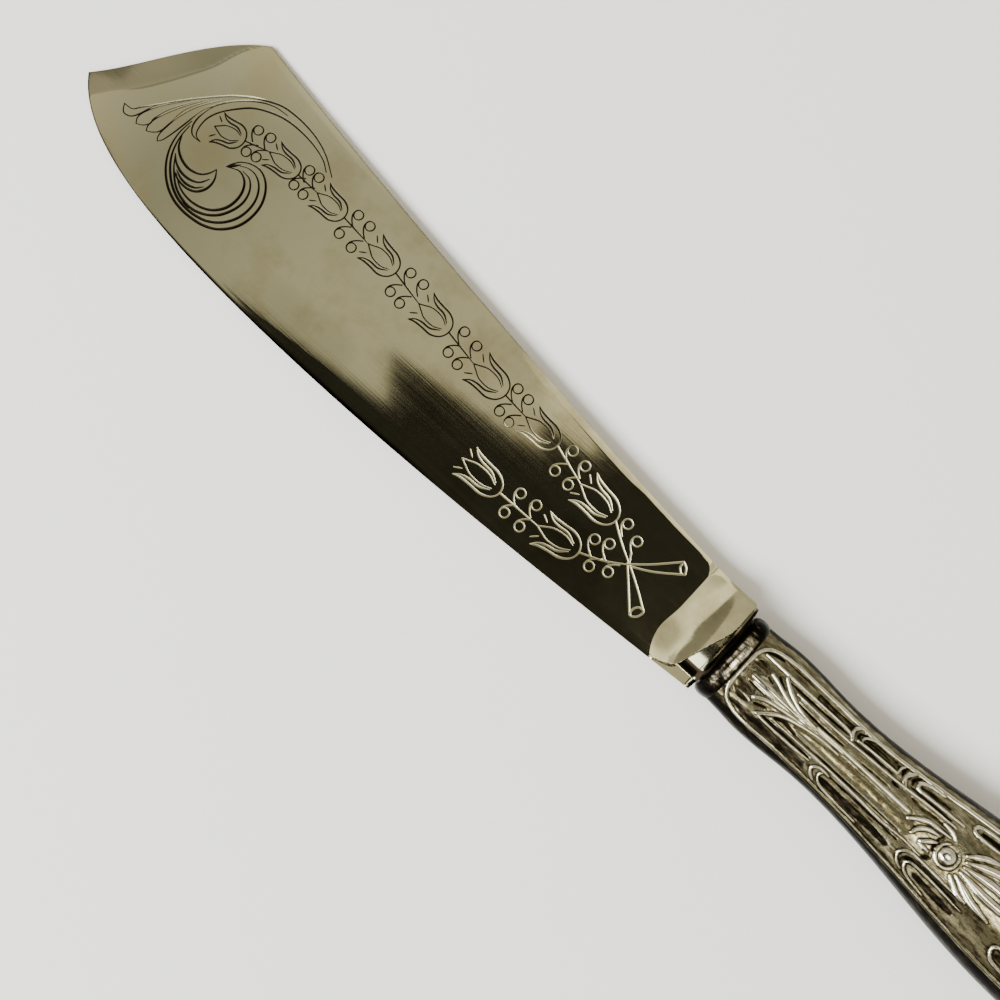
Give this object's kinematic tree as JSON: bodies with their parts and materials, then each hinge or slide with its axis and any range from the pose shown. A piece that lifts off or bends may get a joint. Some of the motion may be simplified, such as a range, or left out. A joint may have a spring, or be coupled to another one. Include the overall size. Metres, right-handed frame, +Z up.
{
  "type": "cake knife",
  "caption": "Cake knife with a broad engraved blade, slanted tip and hollow relief-decorated handle, for cutting and lifting slices.",
  "frame": {"origin": "centre of the bounding box on the floor that the knife lies on", "axes": "+X along the knife from handle to tip, +Y towards the cutting edge, +Z up out of the engraved face"},
  "size_m": [0.3005, 0.0471, 0.0166],
  "materials": {
    "plated_blade": "polished worn silver plate with a warm tint and fine scratches",
    "tarnished_collar": "silver plate tarnished nearly black",
    "plated_handle": "silver plate with brown-black tarnish in the recesses",
    "solder": "dull solder line",
    "cement": "hard resin cement"
  },
  "bodies": {
    "root": {"blade": "plated_blade", "handle_collar": "tarnished_collar", "handle_front_shell": "plated_handle", "handle_back_shell": "plated_handle", "seam_solder": "solder", "cement_filling": "cement"}
  },
  "joints": []
}
